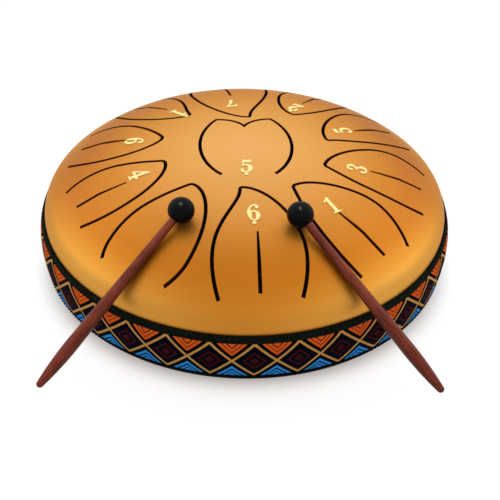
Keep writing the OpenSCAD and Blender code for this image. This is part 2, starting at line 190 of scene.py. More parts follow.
class Recipe(Graph):
    # a Geometry Nodes tree with named sizes; bake() turns it into one plain mesh

    def __init__(self, name, sizes):
        super().__init__(bpy.data.node_groups.new(name, "GeometryNodeTree"))
        self.name = name
        self.sizes = sizes
        self.tree.interface.new_socket("Geometry", in_out="OUTPUT", socket_type="NodeSocketGeometry")
        for label, value in sizes.items():
            kind = "NodeSocketInt" if isinstance(value, int) else "NodeSocketFloat"
            self.tree.interface.new_socket(label, in_out="INPUT", socket_type=kind)
        self.entry = self.tree.nodes.new("NodeGroupInput")

    def size(self, label):
        return Wire(self.tree, self.entry.outputs[label])

    def bake(self, shape, finish):
        real = self.add("GeometryNodeRealizeInstances", None, {0: shape})
        painted = self.add("GeometryNodeSetMaterial", None, {"Geometry": real, "Material": finish})
        end = self.tree.nodes.new("NodeGroupOutput")
        self.put(end.inputs[0], painted)
        carrier = addObject(self.name + "_carrier", bpy.data.meshes.new(self.name + "_carrier"))
        modifier = carrier.modifiers.new("shape", "NODES")
        modifier.node_group = self.tree
        for item in self.tree.interface.items_tree:
            if item.in_out == "INPUT":
                modifier[item.identifier] = self.sizes[item.name]
        mesh = bakedMesh(carrier)
        carrier.modifiers.remove(modifier)
        bpy.data.objects.remove(carrier)
        mesh.polygons.foreach_set("use_smooth", [True] * len(mesh.polygons))
        return addObject(self.name, mesh)


def addObject(name, data):
    # an object at the origin, in the scene
    made = bpy.data.objects.new(name, data)
    bpy.context.scene.collection.objects.link(made)
    return made


def bakedMesh(carrier):
    # the carrier's evaluated shape as a plain mesh
    depsgraph = bpy.context.evaluated_depsgraph_get()
    return bpy.data.meshes.new_from_object(carrier.evaluated_get(depsgraph), depsgraph=depsgraph)


def screenColour(red, green, blue):
    # a colour picked from a screen, as the numbers that a shader takes
    def linear(value):
        value = value / 255
        return value / 12.92 if value <= 0.04045 else ((value + 0.055) / 1.055) ** 2.4
    return (linear(red), linear(green), linear(blue), 1)


def paint(finish, *names):
    for name in names:
        slots = nodes[name].material_slots
        for slot in slots:
            slot.material = finish.material
        if not slots:
            nodes[name].data.materials.append(finish.material)


def plainFinish(name, look):
    # one noise mottles the colour and the roughness, and makes the relief unless there is a finer grain
    finish = Finish(name)
    mottle = finish.noise(look["scale"], look["detail"])
    tone = finish.rise(mottle, *look["ends"]) if "ends" in look else mottle
    relief = finish.noise(look["grainScale"], 2) if "grainScale" in look else mottle
    finish.shader(look.get("fixed", {}))
    finish.shader({
        "Base Color": finish.blend(tone, look["dark"], look["light"]),
        "Roughness": look["roughness"] + look["wander"] * mottle if "wander" in look else look["roughness"],
        "Normal": finish.bump(relief, look["bump"], look.get("bumpStrength", 1)),
    })
    return finish


dome = {
    # section of the sheet's outer face, as radius and height: cap and slope are arcs, tangent to each other
    "capRadius": 0.4051,
    "capCentre": (0, -0.33045),
    "slopeRadius": 0.100,
    "slopeCentre": (0.05694, -0.03068),
    "meet": math.radians(10.7),     # lean at which the cap meets the slope
    "shoulderRadius": 0.014,
    "shoulderTurn": math.radians(37),       # lean at which the slope meets the shoulder
    "shellRadius": 0.1227,
    "rim": 0.038,                   # height where the shoulder turns into the wall
    "seam": 0.0224,                 # height of the wall's lower edge
    "sheet": 0.0015,
    "cutsInside": 0.116,            # radius that holds every cut
    "ringStep": 0.0025,             # mesh steps along the radius and round
    "stepsRound": 360,
    "stepsPerRing": 8,              # how many more steps round each ring has than the one inside it
    "shoulderSteps": 10,
    "mergeBelow": 1e-7,             # points of the plan that are closer than this are one point
}
lacquer = {
    # share of the shell's radius and the colour there: paler in the middle and on the shoulder, partly the
    # lacquer's own tone and partly a painted reflection of the lamps
    "rings": [
        (0.0, screenColour(230, 170, 102)),
        (0.2, screenColour(226, 165, 92)),
        (0.35, screenColour(222, 157, 80)),
        (0.5, screenColour(216, 147, 66)),
        (0.65, screenColour(204, 130, 40)),
        (0.8, screenColour(188, 110, 5)),
        (0.86, screenColour(190, 113, 8)),
        (0.93, screenColour(206, 136, 38)),
        (0.975, screenColour(220, 156, 60)),
    ],
    "lowerShell": screenColour(200, 122, 28),
    "rimShade": screenColour(96, 50, 8),     # painted shade where the shoulder meets the braid
    "rimShadeHeight": (0.037, 0.0384),
    "shade": 0.88,              # how dark the darkest clouds of the lacquer are
    "cloudShare": 0.7,          # how much of the shade the clouds make; the flakes make the rest
    "cloudEnds": (0.3, 0.7),
    "amber": screenColour(196, 114, 6),     # painted reflection: deepens the shoulder in front, at the sides and behind
    "paintedReflectionFrom": (0.6, 0.9),    # shares of the shell's radius between which it sets in
    "amberShare": 0.7,
    "paintedReflectionPower": 1.5,          # above 1 draws the painted reflection's dark spots together
    "paintedReflectionSpots": 4,            # how many there are all round
    "inside": screenColour(40, 24, 12),
    # painted shade: the cuts' walls are drawn dark brown
    "cutWallShade": screenColour(88, 26, 12),
    "cutReach": 0.118,          # the cuts end inside this radius
    "steep": (0.2, 0.5),        # a cut's wall has a flatter normal than this
    "seam": 0.022,              # height where the two shells' colours meet
    "heart": (0, 0, 0.02),      # a point inside the drum, from which the outer faces look away
    "edge": 0.001,              # how far two zones run into each other
    "metallic": 0.8,
    "insideAndCutMetallic": 0.2,        # share of it inside the drum and on the cut walls, which stay dull so their painted shade shows
    "edgeTint": screenColour(222, 196, 78),
    "roughness": 0.46,
    "insideAndCutRoughness": 0.3,
    "smear": 0.06,              # how much the roughness wanders
    "coat": 0.25,
    "coatRoughness": 0.4,
    "cloudScale": 7,
    "smearScale": 30,
    "grainScale": 900,
    "flakeScale": 2600,
    "grainShare": 0.6,          # how much of the relief the grain makes; the flakes make the rest
    "bump": 0.00002,
    "bumpStrength": 0.5,
}


def lacquerFinish():
    gold = Finish("gold lacquer")
    normal = gold.add("ShaderNodeNewGeometry", output="True Normal")
    x, y, z = gold.split(gold.place)
    normalZ = gold.split(normal)[2]
    outward = gold.add("ShaderNodeVectorMath", {"operation": "SUBTRACT"},
                       {0: gold.place, 1: lacquer["heart"]})
    facing = gold.add("ShaderNodeVectorMath", {"operation": "DOT_PRODUCT"},
                      {0: normal, 1: outward}, output="Value")
    edge = lacquer["edge"]
    inner = gold.rise(facing, -2 * edge, 2 * edge, 1, 0)
    reach = (x * x + y * y) ** 0.5
    share = reach / dome["shellRadius"]
    upper = gold.rise(z, lacquer["seam"], lacquer["seam"] + edge)
    wall = gold.rise(reach, lacquer["cutReach"], lacquer["cutReach"] + edge, 1, 0) * upper
    # the cuts' walls, which get painted shade
    shadedCutWall = gold.rise(abs(normalZ), *lacquer["steep"], 1, 0) * wall
    # the rings are partly the lacquer's tone and partly a painted reflection, paler in the middle and on the
    # shoulder
    rings = gold.add("ShaderNodeValToRGB", {"stops": lacquer["rings"]}, {0: share})
    cloud = gold.noise(lacquer["cloudScale"], 3)
    flakes = gold.noise(lacquer["flakeScale"], 1)
    colour = gold.blend(upper, lacquer["lowerShell"], rings)
    mottle = cloud * lacquer["cloudShare"] + flakes * (1 - lacquer["cloudShare"])
    shade = gold.rise(mottle, *lacquer["cloudEnds"], lacquer["shade"], 1)
    # painted reflection: the shoulder turns deeper amber in front, at the sides and behind, four dark spots
    # all round
    waves = (gold.azimuth(x, y) * lacquer["paintedReflectionSpots"]).cosine()
    spots = (0.5 + 0.5 * waves) ** lacquer["paintedReflectionPower"]
    amber = spots * gold.rise(share, *lacquer["paintedReflectionFrom"]) * upper * lacquer["amberShare"]
    colour = gold.blend(amber, colour, lacquer["amber"])
    colour = gold.darken(colour, shade)
    # painted shade: a dark line on the rim where the shoulder meets the braid
    colour = gold.blend(gold.rise(z, *lacquer["rimShadeHeight"], 1, 0) * upper, colour, lacquer["rimShade"])
    colour = gold.blend(inner, colour, lacquer["inside"])
    # painted shade on the cuts' walls
    colour = gold.blend(shadedCutWall, colour, lacquer["cutWallShade"])
    # inside the drum, and the cut walls with their painted shade
    bareInsideOrShadedCut = inner.most(shadedCutWall)
    grain = gold.noise(lacquer["grainScale"], 2)
    relief = grain * lacquer["grainShare"] + flakes * (1 - lacquer["grainShare"])
    smear = lacquer["smear"] * (gold.noise(lacquer["smearScale"], 2) - 0.5)
    gold.shader({
        "Base Color": colour,
        "Metallic": lacquer["metallic"] * (1 - bareInsideOrShadedCut * (1 - lacquer["insideAndCutMetallic"])),
        "Specular Tint": lacquer["edgeTint"],
        "Roughness": lacquer["roughness"] + smear + lacquer["insideAndCutRoughness"] * bareInsideOrShadedCut,
        "Coat Weight": lacquer["coat"] * (1 - bareInsideOrShadedCut),
        "Coat Roughness": lacquer["coatRoughness"],
        "Normal": gold.bump(relief, lacquer["bump"], lacquer["bumpStrength"]),
    })
    return gold


print("lacquer on the shells")
gold = lacquerFinish()
paint(gold, "bottom_shell")


cuts = {
    "kerf": 0.0021,                 # width of the cuts
    "turn": math.radians(6.5),      # how far the front tongue stands to the right of straight ahead
    "heartTurn": math.radians(3.4),         # how far the heart is turned counterclockwise
    "count": 10,                    # petal tongues
    "rootShare": 0.905,             # how far out the tongues end, as a share of the shell's radius
    "slitStart": 0.61,              # the slit in each tongue, as shares of the shell's radius
    "slitEnd": 0.875,
    "slitTip": 0.0011,              # the slit's width at its inner end
    "slitTaper": 0.55,              # share of its length at which it reaches the full width
    "slitShifts": {0: -0.0016, 5: 0.0024, 6: 0.002},     # slits that lie beside their tongue's middle line
    "tipRound": 0.0022,
    "curveSteps": 18,
    # one value for each tongue, from the front one on counterclockwise, as shares of the shell's radius
    "tips": [0.328, 0.373, 0.392, 0.41, 0.432, 0.295, 0.45, 0.427, 0.4, 0.384],
    "halves": [0.204, 0.184, 0.195, 0.172, 0.168, 0.215, 0.162, 0.176, 0.168, 0.196],
    "nearBellies": [0.77, 0.77, 0.77, 0.77, 0.77, 0.77, 0.77, 0.77, 0.77, 0.81],
    "farBellies": [0.72, 0.72, 0.72, 0.72, 0.72, 0.72, 0.72, 0.72, 0.73, 0.78],
    # the same, as shares of the tongue's half width
    "skews": [-0.31, -0.27, -0.27, -0.44, -0.23, -0.24, -0.1, -0.12, -0.35, -0.33],
    "sways": [-0.09, 0.14, 0.18, 0.19, 0, 0.1, 0.24, 0.03, -0.09, -0.16],
    # the same, as shares of the common reach
    "reaches": [1.02, 1.01, 0.99, 0.99, 0.99, 0.99, 0.99, 0.985, 0.975, 1.005],
    # handles of the curve from tip to belly: share of the way out, then share of the belly's width
    "nearCurve": [(0.22, 0.56), (0.57, 1)],
    "swungCurve": [(0.26, 0.32), (0.5, 1)],     # leaves the tip along the tongue before it swings out
    "swung": (0, 5, 6),             # tongues whose near edge does so
    "farCurve": [(0.05, 0.33), (0.56, 1)],
    "nearRoot": -0.92,              # where the two edges end, as shares of the half width
    "farRoot": 0.8,
    # right half of the heart, as shares of the shell's radius
    "heartSide": [(0.125, -0.235), (0.25, -0.12), (0.26, 0.12), (0.14, 0.275)],
    "heartLobe": [(0.14, 0.275), (0.09, 0.275), (0.03, 0.25), (0, 0.195)],
}


def domePoint(radius, inset=0):
    # height of the dome and the lean of its normal at a distance from the axis
    if radius < (dome["capRadius"] - inset) * math.sin(dome["meet"]):
        centre, size = dome["capCentre"], dome["capRadius"] - inset
    else:
        centre, size = dome["slopeCentre"], dome["slopeRadius"] - inset
    lean = math.asin((radius - centre[0]) / size)
    return centre[1] + size * math.cos(lean), lean


def cubic(a, b, c, d):
    # points along a cubic curve, without its last one
    steps = cuts["curveSteps"]
    points = []
    for step in range(steps):
        t = step / steps
        rest = 1 - t
        points.append(a * rest ** 3 + b * (3 * t * rest ** 2) + c * (3 * t * t * rest) + d * t ** 3)
    return points


def bend(a, corner, b):
    # points along a curve from a to b that leaves and arrives towards a corner between them
    return cubic(a, a + (corner - a) * (2 / 3), b + (corner - b) * (2 / 3), b)


def tongueEdge(tip, belly, shares, root):
    # one side of a tongue, from near its tip over its widest point to its root
    leave, arrive = [Vector((tip.x + (belly.x - tip.x) * out, belly.y * across)) for out, across in shares]
    start = tip + (leave - tip).normalized() * cuts["tipRound"]
    corner = Vector(((belly.x + root.x) / 2, belly.y))
    return cubic(start, leave, arrive, belly) + bend(belly, corner, root) + [root]


def tongueLine(number):
    # a tongue's cut, laid along +X: up its near side, round its tip and down its far side
    size = dome["shellRadius"]
    half = cuts["halves"][number] * size
    sway = cuts["sways"][number] * half
    reach = cuts["rootShare"] * cuts["reaches"][number] * size
    tip = Vector((cuts["tips"][number] * size, cuts["skews"][number] * half))
    edges = []
    nearCurve = cuts["swungCurve"] if number in cuts["swung"] else cuts["nearCurve"]
    for belly, side, shares, root in (
        (cuts["nearBellies"][number], -1, nearCurve, cuts["nearRoot"]),
        (cuts["farBellies"][number], 1, cuts["farCurve"], cuts["farRoot"]),
    ):
        across = sway + root * half
        end = Vector((math.sqrt(reach ** 2 - across ** 2), across))
        edges.append(tongueEdge(tip, Vector((belly * size, sway + side * half)), shares, end))
    near, far = edges
    return near[::-1] + bend(near[0], tip, far[0])[1:] + far


def heartLine():
    # the heart's cut, from its open foot up the left side, through the notch and down the right side
    size = dome["shellRadius"]
    right = []
    for shares in (cuts["heartSide"], cuts["heartLobe"]):
        right += cubic(*[Vector(share) * size for share in shares])
    left = [Vector((-point.x, point.y)) for point in right]
    return left + [Vector(cuts["heartLobe"][3]) * size] + right[::-1]


def groove(line, widths):
    # outline of a cut along a line, from its width at each point
    left = []
    right = []
    last = len(line) - 1
    for place, point in enumerate(line):
        before = (line[max(place, 1)] - line[max(place, 1) - 1]).normalized()
        after = (line[min(place + 1, last)] - line[min(place + 1, last) - 1]).normalized()
        along = (before + after).normalized()
        across = Vector((-along.y, along.x)) * (widths[place] / 2 / along.dot(before))
        left.append(point + across)
        right.append(point - across)
    return right + left[::-1]


def slitOutline(number):
    size = dome["shellRadius"]
    start = cuts["slitStart"] * size
    length = cuts["slitEnd"] * cuts["reaches"][number] * size - start
    lean = math.atan2(cuts["sways"][number] * cuts["halves"][number] * size, length)
    root = Vector((start, cuts["slitShifts"].get(number, 0)))
    along = Vector((math.cos(lean), math.sin(lean)))
    line = [root + along * (length * share) for share in (0, cuts["slitTaper"], 1)]
    return groove(line, [cuts["slitTip"], cuts["kerf"], cuts["kerf"]])


def cutOutlines():
    # outlines of the heart's cut, the tongues' cuts and their slits, turned to their places
    heart = heartLine()
    outlines = [(groove(heart, [cuts["kerf"]] * len(heart)), cuts["heartTurn"])]
    for number in range(cuts["count"]):
        turn = cuts["turn"] - math.radians(90) + fullTurn * number / cuts["count"]
        line = tongueLine(number)
        outlines.append((groove(line, [cuts["kerf"]] * len(line)), turn))
        outlines.append((slitOutline(number), turn))
    return [[Matrix.Rotation(turn, 2) @ point for point in outline] for outline, turn in outlines]


def circlePoints(radius, steps):
    angles = [fullTurn * step / steps for step in range(steps)]
    return [Vector((radius * math.cos(angle), radius * math.sin(angle))) for angle in angles]


def skirtProfile():
    # section of the sheet from the outermost ring over the shoulder, down to the seam and back up inside:
    # stretches of points, each a radius, a height and the lean of the normal there
    level = math.radians(90)

    def shoulder(inset):
        size = dome["shoulderRadius"] - inset
        middle = dome["shellRadius"] - dome["shoulderRadius"]
        steps = dome["shoulderSteps"]
        start = dome["shoulderTurn"]
        leans = [start + (level - start) * step / steps for step in range(steps + 1)]
        return [(middle + size * math.sin(lean), dome["rim"] + size * math.cos(lean), lean) for lean in leans]

    def edge(inset):
        height, lean = domePoint(dome["cutsInside"], inset)
        return [(dome["cutsInside"], height, lean)]

    seam = dome["seam"]
    outside = dome["shellRadius"]
    inside = outside - dome["sheet"]
    outer = edge(0) + shoulder(0) + [(outside, seam, level)]
    under = [(outside, seam, 2 * level), (inside, seam, 2 * level)]
    inner = [(radius, height, lean + 2 * level) for radius, height, lean in
             [(inside, seam, level)] + shoulder(dome["sheet"])[::-1] + edge(dome["sheet"])]
    return [outer, under, inner]


def sideNormal(angle, lean):
    # a normal that leans from upright towards an angle round the axis
    return Vector((math.cos(angle) * math.sin(lean), math.sin(angle) * math.sin(lean), math.cos(lean)))


def domePlan():
    # the dome seen from above: its points, the triangles between the cuts, and the outermost ring
    steps = dome["stepsRound"]
    plan = circlePoints(dome["cutsInside"], steps)
    holes = []
    for outline in cutOutlines():
        holes.append(list(range(len(plan), len(plan) + len(outline))))
        plan += outline
    for ring in range(int(dome["cutsInside"] / dome["ringStep"])):
        plan += circlePoints(dome["ringStep"] * ring, max(1, min(steps // 2, dome["stepsPerRing"] * ring)))
    result = delaunay_2d_cdt(plan, [], holes, 0, dome["mergeBelow"])
    spots, triangles, spotSources, holeSources = result[0], result[2], result[3], result[5]
    kept = [triangle for triangle, source in zip(triangles, holeSources) if not source]
    used = sorted({corner for triangle in kept for corner in triangle})
    placeOf = {corner: place for place, corner in enumerate(used)}
    rimCorner = {source[0]: corner for corner, source in enumerate(spotSources)
                 if source and source[0] < steps}
    return ([spots[corner] for corner in used],
            [[placeOf[corner] for corner in triangle] for triangle in kept],
            [placeOf[rimCorner[step]] for step in range(steps)])


def domeSheet(finish):
    # the plan is laid on the dome's outer and inner faces; walls close the cuts, a skirt the rest
    spots, loops, firstRing = domePlan()
    steps = dome["stepsRound"]
    corners = []
    normals = []
    for inset, way in ((0, 1), (dome["sheet"], -1)):
        for spot in spots:
            height, lean = domePoint(spot.length, inset)
            corners.append((spot.x, spot.y, height))
            normals.append(sideNormal(math.atan2(spot.y, spot.x), lean) * way)
    under = len(spots)
    polygons = list(loops) + [[corner + under for corner in reversed(loop)] for loop in loops]
    shades = [[normals[corner] for corner in polygon] for polygon in polygons]
    # walls of the cuts
    sides = {(a, b) for loop in loops for a, b in zip(loop, loop[1:] + loop[:1])}
    rim = set(zip(firstRing, firstRing[1:] + firstRing[:1]))
    for a, b in sides:
        if (b, a) in sides or (a, b) in rim:
            continue
        polygons.append([b, a, a + under, b + under])
        along = Vector(corners[b]) - Vector(corners[a])
        shades.append([Vector((along.y, -along.x, 0)).normalized()] * 4)
    # shoulder, side wall and the inside, down to the inner face's outermost ring
    profile = skirtProfile()
    last = profile[-1][-1]
    above = firstRing
    for stretch in profile:
        for before, spot in zip(stretch, stretch[1:]):
            radius, height, lean = spot
            if spot is last:
                below = [corner + under for corner in firstRing]
            else:
                below = list(range(len(corners), len(corners) + steps))
                corners += [(point.x, point.y, height) for point in circlePoints(radius, steps)]
            for step in range(steps):
                after = (step + 1) % steps
                polygons.append([above[step], below[step], below[after], above[after]])
                angle, nextAngle = fullTurn * step / steps, fullTurn * (step + 1) / steps
                shades.append([sideNormal(angle, before[2]), sideNormal(angle, lean),
                               sideNormal(nextAngle, lean), sideNormal(nextAngle, before[2])])
            above = below
    mesh = bpy.data.meshes.new("dome_sheet")
    mesh.from_pydata(corners, [], polygons)
    mesh.polygons.foreach_set("use_smooth", [True] * len(mesh.polygons))
    mesh.normals_split_custom_set([tuple(normal) for shade in shades for normal in shade])
    mesh.materials.append(finish.material)
    return addObject("dome_sheet", mesh)


print("dome sheet")
sheetPiece = domeSheet(gold)
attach(sheetPiece, "drum")
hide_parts("top_shell")


bead = {
    "dark": screenColour(150, 110, 50),
    "light": screenColour(200, 150, 80),
    "scale": 420,               # of the ripples
    "detail": 2,
    "roughness": 0.35,
    "wander": 0.3,              # how much rougher the ripples' crests are
    "bump": 0.0002,
    "fixed": {"Metallic": 0.8},
}

print("weld bead")
paint(plainFinish("weld bead", bead), "seam_weld")


# sizes of the two rings, in metres; their sections are rounded boxes, bowed outwards
ribbon = {
    "Crown Radius": 0.127,      # outermost radius, in the middle of the ribbon's height
    "Bow Radius": 0.056,
    "Low": 0.0107,
    "High": 0.034,
    "Thickness": 0.001,
    "Roundness": 0.35,          # 1 rounds the section off to an ellipse, 0 leaves it square
    "Steps Round": 720,
    "Steps Across": 48,
}
felt = {
    "Inner Radius": 0.12275,
    "Crown Radius": 0.12595,
    "Bow Radius": 0.055,
    "Low": 0.0108,
    "High": 0.0339,
    "Roundness": 0.4,
    "Steps Round": 360,
    "Steps Across": 40,
}
pressedFelt = {
    "dark": screenColour(22, 22, 22),
    "light": screenColour(64, 62, 60),
    "scale": 1500,              # of the fibres
    "detail": 4,
    "roughness": 0.95,
    "bump": 0.0004,
    "fixed": {"Sheen Weight": 0.3},
}
weave = {
    "diamonds": 34,
    "firstTip": 2.796,          # azimuth of one diamond's tip from the front, in degrees
    "tipHeight": 0.0343,
    "pinchHeight": 0.0233,      # where neighbouring diamonds touch
    "lowTipHeight": 0.0122,
    "outline": (0.91, 1.075),   # the tan outline, in shares of a diamond's half height
    "navyRing": (0.62, 0.80),
    "redRing": (0.42, 0.54),
    "redMiddle": (-0.1, 0.22),
    "orangeStripes": [(3.5, 5.5), (6.0, 8.0), (8.7, 12.0)],     # millimetres above the outline
    "blueStripes": [(3.8, 5.8), (7.0, 8.6), (9.5, 12.0)],       # millimetres below it
    "hem": (0.0114, 0.0119),    # heights between which the black hem ends
    "threadPitch": 0.00055,
    "warpShare": 0.6,           # how much of the relief the upright threads make; the others make the rest
    "threadShade": 0.28,        # how much darker the gaps between threads are
    "fuzzScale": 1800,
    "fuzzShade": 0.36,
    "soft": 0.02,               # how far two colours run into each other
    "turnover": 0.0001,         # the same, where orange gives way to blue at the pinch
    "tan": screenColour(234, 168, 88),
    "orange": screenColour(255, 104, 34),
    "blue": screenColour(56, 164, 246),
    "black": screenColour(4, 5, 9),
    "navy": screenColour(6, 7, 26),
    "red": screenColour(78, 20, 26),
    "roughness": 0.85,
    "gloss": 0.02,
    "threadBump": 0.8,
    "fuzzBump": 0.5,
    "bump": 0.00025,
    "bumpStrength": 0.8,
}


def ringSheet(recipe):
    # a grid that will be wrapped into a ring: its angle round the drum and its angle round the section
    grid = recipe.add("GeometryNodeMeshGrid", None,
                      {"Size X": 1, "Size Y": 1, "Vertices X": recipe.size("Steps Round") + 1,
                       "Vertices Y": recipe.size("Steps Across") + 1})
    x, y = recipe.split(recipe.add("GeometryNodeInputPosition"))[:2]
    return grid, x * fullTurn, y * fullTurn


def ringPlace(recipe, radius, angle, height):
    # a point round the drum's axis, its angle counted from the front
    return recipe.join(radius * angle.sine(), radius * angle.cosine() * -1, height)


def closeRing(recipe, grid, angle, radius, height):
    # the grid wrapped round the drum, with its seams welded
    placed = recipe.add("GeometryNodeSetPosition", None,
                        {"Geometry": grid, "Position": ringPlace(recipe, radius, angle, height)})
    return recipe.add("GeometryNodeMergeByDistance", None, {"Geometry": placed, "Distance": mergeDistance})


def softPower(value, power):
    # the value's size raised to a power, with its sign kept
    return value.calc("SIGN", value) * abs(value) ** power


def bandRecipe(name, sizes):
    # a ring whose outer face bows; its inner face runs beside that or, with an Inner Radius, upright
    recipe = Recipe(name, sizes)
    grid, angle, section = ringSheet(recipe)
    low, high = recipe.size("Low"), recipe.size("High")
    across = softPower(section.sine(), recipe.size("Roundness")) * ((high - low) / 2)
    bow = recipe.size("Bow Radius")
    face = recipe.size("Crown Radius") - bow + (bow * bow - across * across) ** 0.5
    inner = recipe.size("Inner Radius") if "Inner Radius" in sizes else face - recipe.size("Thickness")
    share = softPower(section.cosine(), recipe.size("Roundness")) * 0.5 + 0.5
    return recipe, closeRing(recipe, grid, angle, inner + (face - inner) * share, (low + high) / 2 + across)


def weaveFinish():
    cloth = Finish("jacquard ribbon")
    x, y, z = cloth.split(cloth.place)
    azimuth = cloth.azimuth(x, y)
    turns = azimuth / fullTurn + (1 - weave["firstTip"] / 360)
    pitch = fullTurn * ribbon["Crown Radius"] / weave["diamonds"]
    along = abs((turns * weave["diamonds"] + 0.5).part() - 0.5) * pitch     # from the diamond's middle
    upper = weave["tipHeight"] - weave["pinchHeight"]
    lower = weave["pinchHeight"] - weave["lowTipHeight"]
    up = z - weave["pinchHeight"]
    height = up.most(0) / upper + up.least(0) * -1 / lower
    diamond = along / (pitch / 2) + height              # 1 on the diamond's outline

    def stripe(value, ends):
        low, high = ends
        soft = weave["soft"]
        return cloth.rise(value, low - soft, low + soft) * cloth.rise(value, high - soft, high + soft, 1, 0)

    def chevrons(reach, stripes):
        # stripes outside the diamonds, at heights in millimetres from the outline
        mask = stripe((diamond - 1) * (reach * 1000), stripes[0])
        for ends in stripes[1:]:
            mask = mask.most(stripe((diamond - 1) * (reach * 1000), ends))
        return mask

    above = cloth.rise(up, -weave["turnover"], weave["turnover"])
    colour = cloth.blend(stripe(diamond, weave["navyRing"]), weave["black"], weave["navy"])
    colour = cloth.blend(stripe(diamond, weave["redRing"]), colour, weave["red"])
    colour = cloth.blend(stripe(diamond, weave["redMiddle"]), colour, weave["red"])
    colour = cloth.blend(chevrons(upper, weave["orangeStripes"]) * above, colour, weave["orange"])
    colour = cloth.blend(chevrons(lower, weave["blueStripes"]) * (1 - above), colour, weave["blue"])
    colour = cloth.blend(stripe(diamond, weave["outline"]), colour, weave["tan"])
    colour = cloth.blend(cloth.rise(z, *weave["hem"], 1, 0), colour, weave["black"])
    # threads
    warp = (azimuth * (ribbon["Crown Radius"] * math.pi / weave["threadPitch"])).sine()
    weft = (z * (math.pi / weave["threadPitch"])).sine()
    threads = abs(warp) * weave["warpShare"] + abs(weft) * (1 - weave["warpShare"])
    fuzz = cloth.noise(weave["fuzzScale"], 2)
    relief = threads * weave["threadBump"] + fuzz * weave["fuzzBump"]
    shade = 1 - weave["threadShade"] + weave["threadShade"] * threads
    shade = shade * (1 - weave["fuzzShade"] / 2 + weave["fuzzShade"] * fuzz)
    colour = cloth.darken(colour, shade)
    cloth.shader({
        "Base Color": colour,
        "Roughness": weave["roughness"],
        "Specular IOR Level": weave["gloss"],
        "Normal": cloth.bump(relief, weave["bump"], weave["bumpStrength"]),
    })
    return cloth


print("ribbon and felt")
ribbonShape, ribbonMesh = bandRecipe("woven_ribbon", ribbon)
ribbonPiece = ribbonShape.bake(ribbonMesh, weaveFinish().material)
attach(ribbonPiece, "drum")
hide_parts("pattern_band")

feltShape, feltMesh = bandRecipe("felt_strip", felt)
feltPiece = feltShape.bake(feltMesh, plainFinish("pressed felt", pressedFelt).material)
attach(feltPiece, "drum")
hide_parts("band_felt")


greenYarn = {
    "dark": screenColour(4, 6, 4),
    "light": screenColour(22, 34, 22),
    "scale": 1500,              # of the light speckles
    "detail": 3,
    "ends": (0.45, 0.62),       # share of the light colour: none below the first, all above the second
    "grainScale": 5200,
    "roughness": 0.85,
    "bump": 0.0002,
    "fixed": {"Sheen Weight": 0.02, "Specular IOR Level": 0.06},
}
blackYarn = dict(greenYarn)
blackYarn.update({
    "dark": screenColour(4, 4, 5),
    "light": screenColour(22, 22, 24),
})
# each braid: three strands plaited flat over a core, leaning over the band's edge
topBraid = {
    "Ring Radius": 0.12405,
    "Ring Height": 0.0355,
    "Lean": math.radians(22),
    "Half Width": 0.0013,
    "Half Depth": 0.0003,
    "Strand Radius": 0.00075,
    "Plaits": 96,
    "Strands": 3,
    "Steps": 1152,              # twelve to a plait
    "Strand Sides": 8,
    "Core Radius": 0.001,
    "Core Inset": 0.0003,       # how far inside the strands' ring the core's ring lies
    "Core Steps": 360,
    "Core Sides": 12,
}
lowerBraid = dict(topBraid)
lowerBraid.update({
    "Ring Radius": 0.12410,
    "Ring Height": 0.00870,
    "Lean": math.radians(-45),
    "Half Width": 0.0015,
    "Half Depth": 0.00045,
    "Core Radius": 0.00145,
})


def circleCurve(recipe, sides, radius):
    return recipe.add("GeometryNodeCurvePrimitiveCircle", None,
                      {"Resolution": recipe.size(sides), "Radius": radius})


def braidRecipe(name, sizes):
    recipe = Recipe(name, sizes)
    circle = circleCurve(recipe, "Steps", 1)
    strands = recipe.add("GeometryNodeDuplicateElements", {"domain": "SPLINE"},
                         {"Geometry": circle, "Amount": recipe.size("Strands")})
    angle = recipe.add("GeometryNodeSplineParameter") * fullTurn
    offset = strands.other("Duplicate Index") * fullTurn / recipe.size("Strands")
    phase = angle * recipe.size("Plaits") + offset
    across = phase.sine() * recipe.size("Half Width")
    depth = (phase * 2).sine() * recipe.size("Half Depth")
    lean = recipe.size("Lean")
    radius = recipe.size("Ring Radius") + depth * lean.cosine() - across * lean.sine()
    height = recipe.size("Ring Height") + depth * lean.sine() + across * lean.cosine()
    path = recipe.add("GeometryNodeSetPosition", None,
                      {"Geometry": strands, "Position": ringPlace(recipe, radius, angle, height)})
    thread = circleCurve(recipe, "Strand Sides", recipe.size("Strand Radius"))
    plait = recipe.add("GeometryNodeCurveToMesh", None, {"Curve": path, "Profile Curve": thread})
    middle = circleCurve(recipe, "Core Steps", recipe.size("Ring Radius") - recipe.size("Core Inset"))
    raised = recipe.add("GeometryNodeTransform", None,
                        {"Geometry": middle, "Translation": recipe.join(0, 0, recipe.size("Ring Height"))})
    thickness = circleCurve(recipe, "Core Sides", recipe.size("Core Radius"))
    core = recipe.add("GeometryNodeCurveToMesh", None, {"Curve": raised, "Profile Curve": thickness})
    together = recipe.add("GeometryNodeJoinGeometry", None, {0: plait})
    recipe.put(together.socket.node.inputs[0], core)
    return recipe, together


print("braids")
for name, sizes, finish, node, slotName in (
    ("top_braid_plait", topBraid, plainFinish("green and black yarn", greenYarn), "top_braid", "green_braid"),
    ("lower_braid_plait", lowerBraid, plainFinish("black yarn", blackYarn), "lower_braid", "black_braid"),
):
    shape, mesh = braidRecipe(name, sizes)
    plait = shape.bake(mesh, finish.material)
    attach(plait, "drum")
    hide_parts(node)


